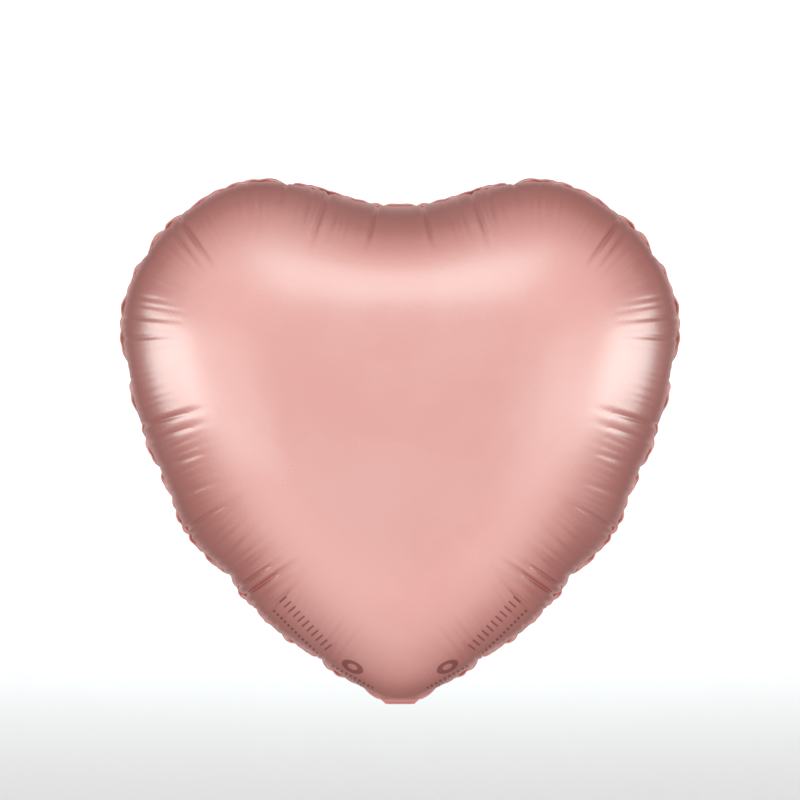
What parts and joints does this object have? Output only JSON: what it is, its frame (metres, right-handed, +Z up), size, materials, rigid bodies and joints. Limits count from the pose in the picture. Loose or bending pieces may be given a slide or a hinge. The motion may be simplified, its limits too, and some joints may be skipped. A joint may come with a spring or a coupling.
{
  "type": "heart-shaped foil balloon",
  "caption": "Inflated heart-shaped foil balloon with puckered heat-sealed seam, inner filling valve and a folding filling tail at the bottom tip.",
  "frame": {"origin": "the ribbon tie point: the middle of the neck fold on the bottom tip, in the plane of the seam", "axes": "+X across the balloon, +Z up from the tip to the notch between the lobes, -Y out of the front panel; the seam lies in the XZ plane"},
  "size_m": [0.374, 0.181, 0.3495],
  "materials": {
    "foil_front": "satin metallised nylon film, rose gold",
    "foil_back": "satin metallised nylon film, rose gold",
    "seam": "satin, heat-sealed film",
    "valve_film": "clear polyethylene film",
    "valve_weld": "fused polyethylene film",
    "coating": "heat-resistant release print"
  },
  "bodies": {
    "balloon": {"front_panel": "foil_front", "back_panel": "foil_back", "seam_weld": "seam", "neck_weld_front": "seam", "neck_weld_back": "seam", "valve_collar_front": "valve_film", "valve_collar_back": "valve_film", "valve_collar_welds": "valve_weld", "release_coating": "coating"},
    "tail": {"tail_film_front": "foil_front", "tail_film_back": "foil_back", "tail_side_welds": "seam", "neck_fold": "foil_back"},
    "valve_flap": {"valve_film_front": "valve_film", "valve_film_back": "valve_film", "valve_side_welds": "valve_weld"}
  },
  "joints": [
    {"name": "tail_fold", "type": "hinge", "parent": "balloon", "child": "tail", "pos_m": [0, 0, 0], "axis": [1, 0, 0], "range_deg": [-210, 0], "deforming": ["neck_fold"]},
    {"name": "valve_swing", "type": "hinge", "parent": "balloon", "child": "valve_flap", "pos_m": [0, 0, 0.0061], "axis": [1, 0, 0], "range_deg": [-20, 20]}
  ]
}
